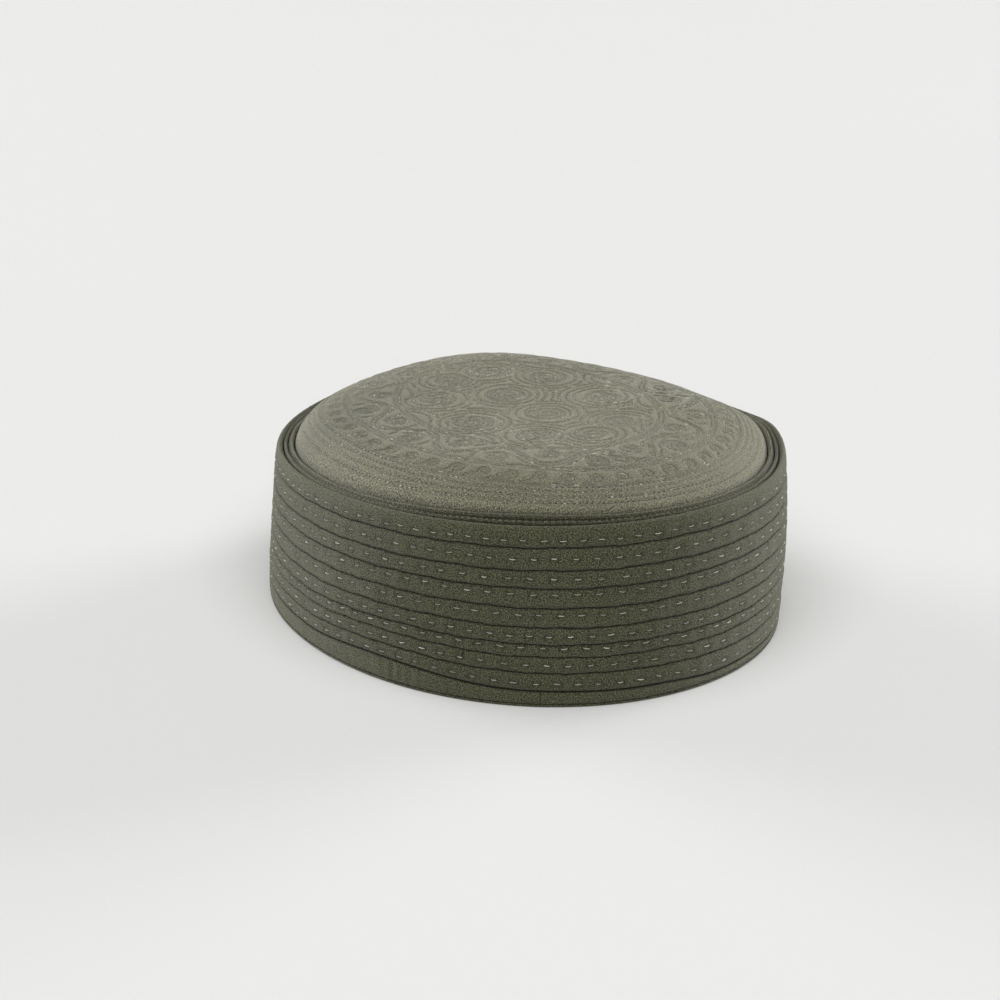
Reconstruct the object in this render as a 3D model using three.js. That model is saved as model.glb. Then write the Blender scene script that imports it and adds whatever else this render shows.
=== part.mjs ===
// A kufi: a low brimless cap of quilted cloth on an oval plan.
// The origin is on the surface that the cap stands on, under the middle of its box.
// X runs across the cap, Y along it with the joined end of the hem towards -Y, and Z is up.

import * as THREE from 'three';

// Plan of the opening, measured outside the hem
const HEM_LENGTH = 197;
const HEM_WIDTH = 171;
// The plan's power: 2 is a plain ellipse, and more is squarer
const PLAN_POWER = 2.04;

// Wall
const SIDE_HEIGHT = 56.2;
const FRONT_RISE = 4.4;
const BACK_RISE = 5.4;
const BACK_RISE_BEARING = 71;
const BACK_RISE_SPREAD = 29;
const CORNER_RISE = 2.5;
const CORNER_RISE_BEARING = -32;
const CORNER_RISE_SPREAD = 15;
const RIM_TAPER = 2.0;
const RIM_LEAN = 2.6;
const WALL_BOW = 0.8;
const WALL_THICKNESS = 2.2;
const GROOVE_DEPTH = 0.45;
const CHANNEL_PUFF = 0.3;
const ROLL_HEIGHT = 1.7;
const DENT_DEPTH = 1.0;

// Hem
const HEM_HEIGHT = 5.6;
const HEM_EDGE_ROUND = 0.5;
const HEM_PUFF = 0.15;

// Rim trim
const RIDGE_WIDTH = 1.3;
const RIDGE_HEIGHT = 2.8;
const RIDGE_RISE = 0.2;
const PIPING_WIDTH = 2.0;
const PIPING_HEIGHT = 3.2;
const PIPING_RISE = 0.5;
// Over the joined end the trim climbs inwards, by this much at the crown's edge
const TRIM_CLIMB = 2.0;
const TRIM_CLIMB_BEARING = -125;
const TRIM_CLIMB_SPREAD = 28;
const RIDGE_CLIMB_SHARE = 0.35;
const PIPING_CLIMB_SHARE = 0.85;

// Crown
const CROWN_THICKNESS = 2.2;
const CROWN_EDGE_RISE = 0.3;
const CROWN_PUFF = 13.2;
const CROWN_SHOULDER_POWER = 6.0;
const SQUARE_SHOULDER_POWER = 9.0;
const SQUARE_SHOULDER_BEARING = 165;
const SQUARE_SHOULDER_SPREAD = 45;
const CROWN_GROOVE_DEPTH = 0.4;
const CROWN_FIRST_ROW = 3.1;
const CROWN_ROW_SPACING = 2.0;
const CROWN_ROWS = 3;

// Clearance between pieces that are sewn together
const SEWN_GAP = 0.3;

// Facets round the cap, and round the sections of the two trims
const STATIONS = 72;
const RIDGE_SIDES = 6;
const PIPING_SIDES = 8;

// Stitched lines round the wall, from the hem up, as shares of the wall's height
const wallLines = [
  { line: 'eighth', share: 0.199 },
  { line: 'seventh', share: 0.290 },
  { line: 'sixth', share: 0.359 },
  { line: 'fifth', share: 0.453 },
  { line: 'fourth', share: 0.560 },
  { line: 'third', share: 0.667 },
  { line: 'second', share: 0.764 },
  { line: 'first', share: 0.888 },
];

// A channel's outer face between two lines, in shares of its height and of CHANNEL_PUFF
const channelProfile = [
  { along: 0.28, puff: 1.0 },
  { along: 0.74, puff: 1.0 },
];

// The rolled edge, in shares of ROLL_HEIGHT below the rim and of WALL_THICKNESS inwards
const rollProfile = [
  { below: 1.0, inwards: 0.0 },
  { below: 0.3, inwards: 0.14 },
  { below: 0.0, inwards: 0.5 },
  { below: 0.3, inwards: 0.86 },
  { below: 1.0, inwards: 1.0 },
];

// Levels of the wall's inner face, as shares of the wall's height
const insideLevels = [0.7, 0.35];

// Steps of the crown from its last stitched row to the middle, as shares of that way
const crownSteps = [0, 0.12, 0.28, 0.5, 0.76];

// Height of the hem round the cap, as shares of HEM_HEIGHT, by bearing from +X towards +Y
const hemHeights = [
  { bearing: -180, share: 1.18 },
  { bearing: -157, share: 1.50 },
  { bearing: -120, share: 0.95 },
  { bearing: -98, share: 0.86 },
  { bearing: -82, share: 0.60 },
  { bearing: -50, share: 0.56 },
  { bearing: 10, share: 0.80 },
  { bearing: 90, share: 1.00 },
];

// Soft dents and swells of the wall, in shares of DENT_DEPTH, with a minus for a dent
const wallDents = [
  { bearing: -168, height: 0.40, width: 20, rise: 0.28, depth: 0.9 },
  { bearing: -138, height: 0.70, width: 13, rise: 0.35, depth: -0.5 },
  { bearing: -112, height: 0.35, width: 12, rise: 0.30, depth: 0.4 },
  { bearing: -84, height: 0.65, width: 12, rise: 0.30, depth: -0.5 },
  { bearing: -35, height: 0.55, width: 18, rise: 0.30, depth: 0.8 },
  { bearing: 40, height: 0.60, width: 16, rise: 0.35, depth: -0.6 },
  { bearing: 100, height: 0.50, width: 18, rise: 0.30, depth: 0.5 },
  { bearing: 145, height: 0.60, width: 15, rise: 0.35, depth: -0.5 },
];

// The seats of the trim, measured inwards from the wall's outer face
const RIDGE_SEAT = WALL_THICKNESS + SEWN_GAP;
const PIPING_SEAT = RIDGE_SEAT + RIDGE_WIDTH + SEWN_GAP;
const CROWN_SEAT = PIPING_SEAT + PIPING_WIDTH + SEWN_GAP;

const DEGREE = Math.PI / 180;

function turnBetween(bearing, other) {
  return ((bearing - other + 540) % 360) - 180;
}

function bell(distance, spread) {
  return Math.exp(-((distance / spread) ** 2));
}

function easedShare(table, bearing) {
  for (let i = 0; i < table.length; i += 1) {
    const here = table[i];
    const next = table[(i + 1) % table.length];
    const span = (next.bearing - here.bearing + 360) % 360;
    const along = (bearing - here.bearing + 720) % 360;
    if (along <= span) {
      const ease = 0.5 - 0.5 * Math.cos((Math.PI * along) / span);
      return here.share + (next.share - here.share) * ease;
    }
  }
  throw new Error('the table leaves a gap round the cap');
}

function rimHeight(bearing) {
  const slope = -FRONT_RISE * Math.sin(bearing * DEGREE);
  const hump = BACK_RISE * bell(turnBetween(bearing, BACK_RISE_BEARING), BACK_RISE_SPREAD);
  const corner = CORNER_RISE * bell(turnBetween(bearing, CORNER_RISE_BEARING), CORNER_RISE_SPREAD);
  return SIDE_HEIGHT + slope + hump + corner;
}

function trimClimb(bearing) {
  return TRIM_CLIMB * bell(turnBetween(bearing, TRIM_CLIMB_BEARING), TRIM_CLIMB_SPREAD);
}

// The crown's shoulder is squarer on one side
function shoulderPower(bearing) {
  const turn = turnBetween(bearing, SQUARE_SHOULDER_BEARING);
  return CROWN_SHOULDER_POWER + SQUARE_SHOULDER_POWER * bell(turn, SQUARE_SHOULDER_SPREAD);
}

function hemHeight(bearing) {
  return HEM_HEIGHT * easedShare(hemHeights, bearing);
}

// A stitched line keeps its share high up and follows the hem low down
function lineShare(share, bearing) {
  const hemShift = (hemHeight(bearing) - HEM_HEIGHT) / rimHeight(bearing);
  return share + hemShift * (1 - share) ** 2;
}

function dentAt(bearing, share) {
  const swell = wallDents.reduce((sum, dent) => {
    const across = bell(turnBetween(bearing, dent.bearing), dent.width);
    return sum + dent.depth * across * bell(share - dent.height, dent.rise);
  }, 0);
  return DENT_DEPTH * swell * Math.sin(Math.PI * Math.min(share, 1));
}

// The plan's radius at a bearing, with both half axes grown by the same amount
function planRadius(bearing, grow) {
  const across = Math.abs(Math.cos(bearing * DEGREE)) / (HEM_WIDTH / 2 + grow);
  const along = Math.abs(Math.sin(bearing * DEGREE)) / (HEM_LENGTH / 2 + grow);
  return (across ** PLAN_POWER + along ** PLAN_POWER) ** (-1 / PLAN_POWER);
}

// A point at a height, offset outwards from the wall's outer face
function wallPoint(bearing, height, offset) {
  const share = height / rimHeight(bearing);
  const bow = WALL_BOW * 4 * share * (1 - share);
  const grow = bow - RIM_TAPER * share + dentAt(bearing, share) + offset;
  const radius = planRadius(bearing, grow);
  const x = radius * Math.cos(bearing * DEGREE) + RIM_LEAN * share;
  const y = radius * Math.sin(bearing * DEGREE);
  return new THREE.Vector3(x, y, height);
}

function bearings() {
  return Array.from({ length: STATIONS }, (_, i) => -180 + (360 * i) / STATIONS);
}

function solidFrom(points, faces) {
  const geometry = new THREE.BufferGeometry();
  const coordinates = points.flatMap((point) => point.toArray());
  geometry.setAttribute('position', new THREE.Float32BufferAttribute(coordinates, 3));
  geometry.setIndex(faces);
  geometry.computeVertexNormals();
  return geometry;
}

// A closed ring: each section runs up the outside, inwards over the top and down the inside
function ringSolid(sectionAt) {
  const sections = bearings().map(sectionAt);
  const sides = sections[0].length;
  const faces = [];
  for (let i = 0; i < STATIONS; i += 1) {
    const next = (i + 1) % STATIONS;
    for (let j = 0; j < sides; j += 1) {
      const up = (j + 1) % sides;
      const corner = i * sides + j;
      const beside = next * sides + j;
      const above = i * sides + up;
      const across = next * sides + up;
      faces.push(corner, beside, across, corner, across, above);
    }
  }
  return solidFrom(sections.flat(), faces);
}

// The quilted wall, with a groove at each stitched line and a padded channel between them
function bandSection(bearing) {
  const rim = rimHeight(bearing);
  const foot = hemHeight(bearing) + SEWN_GAP;
  const rollFoot = rim - ROLL_HEIGHT;
  const heights = wallLines.map((row) => lineShare(row.share, bearing) * rim);
  const seams = [foot, ...heights, rollFoot];
  const outside = [];
  seams.slice(1).forEach((above, i) => {
    const step = above - seams[i];
    outside.push([seams[i], -GROOVE_DEPTH]);
    channelProfile.forEach(({ along, puff }) => {
      outside.push([seams[i] + step * along, CHANNEL_PUFF * puff]);
    });
  });
  const roll = rollProfile.map(({ below, inwards }) => [
    rim - ROLL_HEIGHT * below,
    -WALL_THICKNESS * inwards,
  ]);
  const levels = [...insideLevels.map((share) => share * rim), foot];
  const inside = levels.map((height) => [height, -WALL_THICKNESS]);
  const outline = [...outside, ...roll, ...inside];
  return outline.map(([height, offset]) => wallPoint(bearing, height, offset));
}

// The folded binding that the cap stands on
function hemSection(bearing) {
  const top = hemHeight(bearing);
  const inner = -WALL_THICKNESS;
  const outline = [
    [0, -HEM_EDGE_ROUND],
    [HEM_EDGE_ROUND, 0],
    [top / 2, HEM_PUFF],
    [top - HEM_EDGE_ROUND, 0],
    [top, -GROOVE_DEPTH],
    [top, inner],
    [HEM_EDGE_ROUND, inner],
    [0, inner + HEM_EDGE_ROUND],
  ];
  return outline.map(([height, offset]) => wallPoint(bearing, height, offset));
}

// A rounded strip sewn inside the wall's rolled edge
function trimSection(bearing, seat, width, tall, rise, sides) {
  const middle = rimHeight(bearing) + rise - tall / 2;
  return Array.from({ length: sides }, (_, i) => {
    const turn = (2 * Math.PI * (i + 0.5)) / sides;
    const flatReach = Math.cos(Math.PI / sides);
    const offset = -seat - width / 2 + (Math.cos(turn) * width) / 2 / flatReach;
    const height = middle + (Math.sin(turn) * tall) / 2;
    return wallPoint(bearing, height, offset);
  });
}

// A point of the crown's upper face, at an inset from the crown's edge
function crownPoint(bearing, inset, drop) {
  const rim = rimHeight(bearing);
  const edge = wallPoint(bearing, rim, -CROWN_SEAT);
  const middle = new THREE.Vector3(RIM_LEAN, 0, 0);
  const outward = edge.clone().setZ(0).sub(middle);
  const share = Math.max(0, 1 - inset / outward.length());
  const place = middle.addScaledVector(outward, share);
  const edgeLevel = rim + CROWN_EDGE_RISE + trimClimb(bearing);
  const level = SIDE_HEIGHT + (edgeLevel - SIDE_HEIGHT) * share ** 2;
  const puff = CROWN_PUFF * (1 - share ** shoulderPower(bearing));
  return place.setZ(level + puff - drop);
}

// The rings of the upper face: stitched rows near the edge, then wider steps to the middle
function crownRings() {
  const rings = [{ inset: 0, drop: 0 }];
  for (let row = 0; row < CROWN_ROWS; row += 1) {
    const inset = CROWN_FIRST_ROW + row * CROWN_ROW_SPACING;
    rings.push({ inset: inset - CROWN_ROW_SPACING / 2, drop: 0 });
    rings.push({ inset, drop: CROWN_GROOVE_DEPTH });
  }
  const reach = planRadius(0, -RIM_TAPER - CROWN_SEAT);
  const start = CROWN_FIRST_ROW + (CROWN_ROWS - 0.5) * CROWN_ROW_SPACING;
  crownSteps.forEach((share) => rings.push({ inset: start + (reach - start) * share, drop: 0 }));
  return rings;
}

// A closed puffed panel, from rings that shrink to the middle above and grow again below
function crownSolid() {
  const upper = crownRings();
  const under = upper.filter((ring, i) => i === 0 || i > 2 * CROWN_ROWS);
  const points = [];
  const ringAt = (ring, drop) => {
    const first = points.length;
    bearings().forEach((bearing) => points.push(crownPoint(bearing, ring.inset, drop)));
    return first;
  };
  const tops = upper.map((ring) => ringAt(ring, ring.drop));
  const bottoms = under.map((ring) => ringAt(ring, CROWN_THICKNESS));
  const centre = crownPoint(0, HEM_LENGTH, 0);
  const topCentre = points.push(centre) - 1;
  const underCentre = points.push(centre.clone().setZ(centre.z - CROWN_THICKNESS)) - 1;

  const faces = [];
  const bridge = (outer, inner) => {
    for (let i = 0; i < STATIONS; i += 1) {
      const next = (i + 1) % STATIONS;
      faces.push(outer + i, outer + next, inner + next);
      faces.push(outer + i, inner + next, inner + i);
    }
  };
  tops.slice(1).forEach((first, i) => bridge(tops[i], first));
  bottoms.slice(1).forEach((first, i) => bridge(first, bottoms[i]));
  bridge(bottoms[0], tops[0]);
  for (let i = 0; i < STATIONS; i += 1) {
    const next = (i + 1) % STATIONS;
    faces.push(tops.at(-1) + i, tops.at(-1) + next, topCentre);
    faces.push(bottoms.at(-1) + next, bottoms.at(-1) + i, underCentre);
  }
  return solidFrom(points, faces);
}

function cloth(colour, roughness) {
  return new THREE.MeshStandardMaterial({ color: colour, roughness, metalness: 0 });
}

function piece(name, geometry, material) {
  const mesh = new THREE.Mesh(geometry, material);
  mesh.name = name;
  return mesh;
}

const bandCloth = cloth(0x55564a, 0.95);
const crownCloth = cloth(0x86856f, 0.95);
const trimCloth = cloth(0x6a6a58, 0.95);

const kufi = new THREE.Group();
kufi.add(piece('side_band', ringSolid(bandSection), bandCloth));
kufi.add(piece('bottom_hem', ringSolid(hemSection), bandCloth));
kufi.add(piece('crown_top', crownSolid(), crownCloth));

const ridgeSection = (bearing) => {
  const rise = RIDGE_RISE + RIDGE_CLIMB_SHARE * trimClimb(bearing);
  return trimSection(bearing, RIDGE_SEAT, RIDGE_WIDTH, RIDGE_HEIGHT, rise, RIDGE_SIDES);
};
kufi.add(piece('rim_ridge', ringSolid(ridgeSection), trimCloth));

const pipingSection = (bearing) => {
  const rise = PIPING_RISE + PIPING_CLIMB_SHARE * trimClimb(bearing);
  return trimSection(bearing, PIPING_SEAT, PIPING_WIDTH, PIPING_HEIGHT, rise, PIPING_SIDES);
};
kufi.add(piece('rim_piping', ringSolid(pipingSection), trimCloth));

// The lean of the rim moves the middle of the box, so the cap is set back over its origin
const middle = new THREE.Box3().setFromObject(kufi).getCenter(new THREE.Vector3());
kufi.position.set(-middle.x, -middle.y, 0);

export default kufi;
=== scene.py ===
"""A low quilted kufi: a padded wall with running stitches, a folded hem and a piped scroll crown."""

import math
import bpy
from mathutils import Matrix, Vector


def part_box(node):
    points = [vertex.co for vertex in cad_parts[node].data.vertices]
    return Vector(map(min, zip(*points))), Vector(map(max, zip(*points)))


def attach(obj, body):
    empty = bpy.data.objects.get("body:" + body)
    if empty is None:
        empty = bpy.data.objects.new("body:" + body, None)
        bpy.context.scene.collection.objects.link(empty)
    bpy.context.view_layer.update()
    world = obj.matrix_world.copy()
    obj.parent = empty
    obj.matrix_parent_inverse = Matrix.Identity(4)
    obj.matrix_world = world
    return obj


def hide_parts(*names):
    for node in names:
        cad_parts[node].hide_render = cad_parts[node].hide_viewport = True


bl_info = {
    "name": "Quilted kufi",
    "version": (1, 0, 0),
    "blender": (4, 5, 0),
    "location": "3D View > Sidebar > Kufi",
    "description": "Builds the wall, hem, rim, crown and stitching of a quilted kufi",
    "category": "Add Mesh",
}

from functools import partial

import bpy
import numpy as np
from bpy.props import FloatProperty, FloatVectorProperty, IntProperty, PointerProperty
from mathutils import Vector, kdtree

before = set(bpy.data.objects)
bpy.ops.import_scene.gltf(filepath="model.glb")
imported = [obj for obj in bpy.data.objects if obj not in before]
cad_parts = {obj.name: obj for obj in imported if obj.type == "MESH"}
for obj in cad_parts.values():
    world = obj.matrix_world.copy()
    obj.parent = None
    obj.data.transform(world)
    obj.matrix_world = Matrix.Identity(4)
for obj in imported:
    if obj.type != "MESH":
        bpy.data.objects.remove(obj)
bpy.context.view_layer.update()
CROWN_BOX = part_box("crown_top")

MM = 0.001
FULL_TURN = 360.0

# Quilted lines from the hem up, as shares of the wall's height
WALL_LINES = (0.199, 0.290, 0.359, 0.453, 0.560, 0.667, 0.764, 0.888)

# Running stitches of each channel from the hem up: where the row lies in its channel,
# the pitch in metres, and how far a stitch is shifted along from the hem's join
RUNNING_ROWS = (
    (0.41, 6.72 * MM, -1.75 * MM),
    (0.51, 7.00 * MM, 1.60 * MM),
    (0.72, 6.72 * MM, -0.20 * MM),
    (0.51, 6.50 * MM, 2.10 * MM),
    (0.645, 6.72 * MM, -1.75 * MM),
    (0.72, 7.15 * MM, 3.00 * MM),
    (0.55, 7.47 * MM, 3.00 * MM),
    (0.515, 6.83 * MM, 2.40 * MM),
    (0.476, 6.19 * MM, -1.10 * MM),
)

# Height of the hem round the cap, as (bearing from +X towards +Y in degrees, share)
HEM_HEIGHTS = (
    (-180, 1.18),
    (-157, 1.50),
    (-120, 0.95),
    (-98, 0.86),
    (-82, 0.60),
    (-50, 0.56),
    (10, 0.80),
    (90, 1.00),
)

# Soft swells and dents of the wall: bearing, height share, width in degrees, rise share, depth
WALL_DENTS = (
    (-168, 0.40, 20, 0.28, 0.9),
    (-138, 0.70, 13, 0.35, -0.5),
    (-112, 0.35, 12, 0.30, 0.4),
    (-84, 0.65, 12, 0.30, -0.5),
    (-35, 0.55, 18, 0.30, 0.8),
    (40, 0.60, 16, 0.35, -0.6),
    (100, 0.50, 18, 0.30, 0.5),
    (145, 0.60, 15, 0.35, -0.5),
)

# Painted shade as soft darker patches on the crown, most towards its left and right: x and y from its
# middle, spread in mm, shade
CROWN_SHADES = (
    (-58, 22, 24, 0.56),
    (-40, -14, 13, 0.26),
    (-30, 40, 22, 0.32),
    (44, 30, 24, 0.36),
    (58, -12, 17, 0.36),
)

# Section of the hem in mm: its fold from the floor up as (height, offset), and its upper lip
# as (distance below the hem's top, offset, painted shade in the seam)
HEM_FOLD = (
    (0.0, -0.50),
    (0.10, -0.26),
    (0.28, -0.06),
    (0.52, 0.02),
    (0.76, -0.02),
    (0.92, -0.14),
    (1.05, -0.24),
    (1.18, -0.14),
    (1.42, 0.02),
    (1.80, 0.10),
)
HEM_LIP = (
    (0.5, 0.0, 0.0),
    (0.25, -0.2, 0.3),
    (0.08, -0.42, 0.9),
    (0.0, -0.62, 1.0),
)
HEM_LINE_HEIGHT = 1.05 * MM

# Wavelengths in mm of the fine puckers along a quilted line, and of slower waves of a channel
SEAM_WAVES = (1.9, 2.6, 3.7, 5.3, 8.9)
CHANNEL_WAVES = (9, 14, 23)

# How far small forms of the wall reach: puckers from a quilted line, the hole where a stitch
# enters, the pull of its thread, and the furrow of its row
SEAM_REACH = 1.1 * MM
HOLE_REACH = 0.55 * MM
PULL_REACH = 0.95 * MM
FURROW_REACH = 1.5 * MM

# The hem's upright join and the puckered stretch beside it
JOIN_WIDTH = 0.22 * MM
PUCKER_PITCH = 3.6 * MM
PUCKER_SPREAD = 7 * MM

# Widths of the crown's sewn forms: an embroidered line, the cloth that pads up beside it,
# a stitched row, and the edge that is tucked under
LINE_WIDTH = 0.42 * MM
PADDING_WIDTH = 1.7 * MM
ROW_WIDTH = 0.45 * MM
TUCK_WIDTH = 0.8 * MM
TUCK_DEPTH = 0.75 * MM

# Rings of the crown's under face, as shares of the way from its middle to its edge
UNDER_SHARES = (1.0, 0.93, 0.8, 0.62, 0.4, 0.18)

# Embroidery of the crown, as distances in mm from its edge
WAVE_INSET = 13.4
RING_INSETS = (10.1, 17.6, 19.0, 35.2, 36.8)
VINE_INSET = 27.0
VINE_SWING = 5.6
ROSETTE_INSET = 49.5
ROSETTE_SCROLLS = 9

# Threads that several pieces share: strength of the painted glint that brightens some stitches, sheen
# and roughness
THREADS = {
    "light_thread": (0.9, 0.1, 0.5),
    "rim_thread": (0.8, 0.0, 0.7),
    "dark_thread": (0.6, 0.0, 0.7),
}
SOFT_SHEEN = {"Sheen Roughness": 0.40, "Sheen Tint": (0.86, 0.86, 0.78, 1.0)}
UPWARDS = (0.0, 0.0, 1.0)

# Lights: how far to the camera's right, away from it and up each one stands, and its spread
LIGHTS = (
    ("top_light", 0.0, -0.38, 1.0, 70.0),
    ("left_light", -1.0, 0.74, 0.03, 36.0),
    ("right_light", 1.0, 0.68, 0.05, 36.0),
)

# Bearings in degrees of the hem's join, its puckers and the loose end of the machine thread
HEM_JOIN_BEARING = -119.7
PUCKER_BEARING = -150.5
LOOSE_END_BEARING = -135.2

# Where the surface of a channel is sampled between two quilted lines
CHANNEL_STEPS = (0.0, 0.045, 0.10, 0.19, 0.33, 0.5, 0.67, 0.81, 0.90, 0.955)


def length(name, description, metres):
    return FloatProperty(
        name=name, description=description, default=metres, precision=5, subtype="DISTANCE",
        unit="LENGTH",
    )


def colour(name, description, value):
    return FloatVectorProperty(
        name=name, description=description, default=value, size=3, min=0.0, max=1.0, subtype="COLOR",
    )


def angle(name, description, degrees):
    return FloatProperty(
        name=name, description=description, default=math.radians(degrees), subtype="ANGLE",
        unit="ROTATION",
    )


def amount(name, description, value, least=0.0, most=100.0):
    return FloatProperty(
        name=name, description=description, default=value, min=least, max=most, precision=3
    )


def number(name, description, value, least, most):
    return IntProperty(name=name, description=description, default=value, min=least, max=most)


class KufiShape(bpy.types.PropertyGroup):
    """Sizes of the cap's body, which are those of its CAD solids"""

    hem_length: length("Hem length", "Length of the opening, outside the hem", 0.197)
    hem_width: length("Hem width", "Width of the opening, outside the hem", 0.171)
    plan_power: amount("Plan power", "Power of the oval plan, 2 for a plain ellipse", 2.04, 1.5, 4.0)
    side_height: length("Side height", "Height of the rim at the cap's two long sides", 0.0562)
    front_rise: length("Front rise", "How much higher the joined end stands", 0.0044)
    back_rise: length("Back rise", "Height of the soft hump at the far end", 0.0054)
    back_bearing: angle("Hump bearing", "Bearing of the far hump from +X towards +Y", 71.0)
    back_spread: angle("Hump spread", "Spread of the far hump", 29.0)
    corner_rise: length("Corner rise", "Height of the small rise on the right", 0.0025)
    corner_bearing: angle("Corner bearing", "Bearing of the small rise", -32.0)
    corner_spread: angle("Corner spread", "Spread of the small rise", 15.0)
    rim_taper: length("Rim taper", "How far the wall draws in from hem to rim", 0.002)
    rim_lean: length("Rim lean", "How far the rim leans sideways", 0.0026)
    wall_bow: length("Wall bow", "How far the wall bows out at half its height", 0.0008)
    wall_thickness: length("Wall thickness", "Thickness of the padded wall", 0.0022)
    dent_depth: length("Dent depth", "Depth of the wall's soft dents", 0.001)
    roll_height: length("Roll height", "Height of the rolled upper edge", 0.0017)
    hem_height: length("Hem height", "Usual height of the folded hem", 0.0056)
    sewn_gap: length("Sewn gap", "Gap between two pieces that are sewn together", 0.0003)


class KufiQuilting(bpy.types.PropertyGroup):
    """Relief of the quilted wall and its threads"""

    seam_depth: length("Seam depth", "Depth of a quilted line below the wall's face", 0.00052)
    puff: length("Puff", "How far a channel stands out between two lines", 0.00024)
    dimple: length("Dimple", "Depth of the dimple where a stitch enters", 0.00026)
    pucker: length("Pucker", "Height of the fine puckers along a line", 0.00013)
    stitch_length: length("Stitch length", "Visible length of a running stitch", 0.0022)
    stitch_width: length("Stitch width", "Thickness of the running thread", 0.00025)
    machine_pitch: length("Machine pitch", "Pitch of the dark machine stitches", 0.0024)
    machine_width: length("Machine width", "Thickness of the dark machine thread", 0.00030)
    stations: number("Stations", "Number of sections round the wall", 720, 72, 1440)


class KufiRim(bpy.types.PropertyGroup):
    """Sizes of the two rolled strips between the wall and the crown"""

    ridge_width: length("Ridge width", "Width of the outer strip", 0.0013)
    ridge_height: length("Ridge height", "Height of the outer strip", 0.0028)
    ridge_rise: length("Ridge rise", "Height of the outer strip above the rim", 0.0002)
    piping_width: length("Piping width", "Width of the inner rolled strip", 0.0020)
    piping_height: length("Piping height", "Height of the inner rolled strip", 0.0032)
    piping_rise: length("Piping rise", "Height of the inner strip above the rim", 0.0005)
    climb: length("Climb", "How far the trim climbs inwards over the joined end", 0.0020)
    climb_bearing: angle("Climb bearing", "Bearing where the trim climbs most", -125.0)
    climb_spread: angle("Climb spread", "Spread of the climb", 28.0)
    ridge_climb: amount("Ridge climb", "Share of the climb that the outer strip takes", 0.35)
    piping_climb: amount("Piping climb", "Share of the climb that the inner strip takes", 0.85)
    gather_pitch: length("Gather pitch", "Pitch of the small gathers along the strips", 0.0022)
    gather_depth: length("Gather depth", "Depth of the small gathers", 0.00004)
    stations: number("Stations", "Number of sections round each strip", 1440, 72, 2880)


class KufiCrown(bpy.types.PropertyGroup):
    """Sizes of the puffed crown and its embroidery"""

    thickness: length("Thickness", "Thickness of the padded crown", 0.0022)
    edge_rise: length("Edge rise", "Height of the crown's edge above the rim", 0.0003)
    puff: length("Puff", "Height of the crown above its edge", 0.0132)
    shoulder_power: amount("Shoulder power", "How square the crown's shoulder is", 6.0, 2.0, 12.0)
    square_power: amount("Square power", "How much squarer the shoulder is on one side", 9.0)
    square_bearing: angle("Square bearing", "Bearing of the squarer shoulder", 165.0)
    square_spread: angle("Square spread", "Spread of the squarer shoulder", 45.0)
    first_row: length("First row", "Distance of the first stitched row from the edge", 0.0031)
    row_spacing: length("Row spacing", "Distance between the stitched rows", 0.0020)
    rows: number("Rows", "Number of stitched rows by the edge", 4, 1, 6)
    line_depth: length("Line depth", "Depth of an embroidered line", 0.00030)
    quilt_puff: length("Quilt puff", "Height of the cloth between embroidered lines", 0.00018)
    stitch_length: length("Stitch length", "Length of an embroidery stitch", 0.0019)
    stitch_gap: length("Stitch gap", "Gap between two embroidery stitches", 0.0005)
    stitch_width: length("Stitch width", "Thickness of the embroidery thread", 0.00030)
    echo_spacing: length("Echo spacing", "Distance between the lines that echo a scroll", 0.0027)
    scrolls: number("Border scrolls", "Number of scrolls along the border's vine", 22, 6, 40)
    grid: number("Grid", "Number of cells across the crown's upper face", 290, 40, 300)


class KufiColours(bpy.types.PropertyGroup):
    """Colours of the cloths, the threads and the stage"""

    # Painted shade: the wall and the trim are the crown's cloth given a much darker colour, for the
    # shade on the cap's front; the hem takes the wall's
    wall: colour("Wall cloth", "Colour of the quilted wall and the hem", (0.071, 0.075, 0.043))
    trim: colour("Trim cloth", "Colour of the two rolled strips", (0.084, 0.087, 0.053))
    crown: colour("Crown cloth", "Colour of the embroidered crown", (0.180, 0.181, 0.131))
    light_thread: colour("Light thread", "Colour of the running stitches", (0.50, 0.50, 0.42))
    dark_thread: colour("Dark thread", "Colour of the machine stitches", (0.012, 0.012, 0.008))
    rim_thread: colour("Rim thread", "Colour of the small stitches of the rim", (0.040, 0.040, 0.027))
    tone_thread: colour("Embroidery thread", "Colour of the crown's thread", (0.30, 0.298, 0.235))
    floor: colour("Floor", "Colour of the pale floor", (0.70, 0.70, 0.69))


class KufiStage(bpy.types.PropertyGroup):
    """Camera and lights"""

    camera_azimuth: angle("Camera azimuth", "Angle of the camera round the cap, 0 along +Y", -33.0)
    camera_elevation: angle("Camera elevation", "Angle of the camera above the floor", 20.7)
    camera_distance: length("Camera distance", "Distance from the camera to its target", 0.792)
    target_height: length("Target height", "Height of the camera's target", 0.033)
    side_offset: length("Side offset", "How far the camera's axis passes left of the cap", 0.0072)
    rise_offset: length("Rise offset", "How far the camera's axis passes above its target", 0.0014)
    lens: amount("Lens", "Focal length in millimetres on a 36 mm sensor", 80.96, 10.0, 500.0)
    floor_reach: length("Floor reach", "Distance from the cap to the floor's edge", 9.0)
    top_light: amount("Top light", "Strength of the broad light from above", 2.6)
    side_light: amount("Side lights", "Strength of the two lights at the sides", 5.2)
    sky_light: amount("Sky light", "Strength of the even light from all round", 0.14)


def settings():
    """The property groups of this scene, by short names"""
    return bpy.context.scene.kufi_settings


class KufiSettings(bpy.types.PropertyGroup):
    """All sizes and colours of the cap and its stage"""

    shape: PointerProperty(type=KufiShape)
    quilting: PointerProperty(type=KufiQuilting)
    rim: PointerProperty(type=KufiRim)
    crown: PointerProperty(type=KufiCrown)
    colours: PointerProperty(type=KufiColours)
    stage: PointerProperty(type=KufiStage)


# Shape of the cap


def turn_between(bearing, other):
    return (bearing - other + 540.0) % FULL_TURN - 180.0


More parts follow.
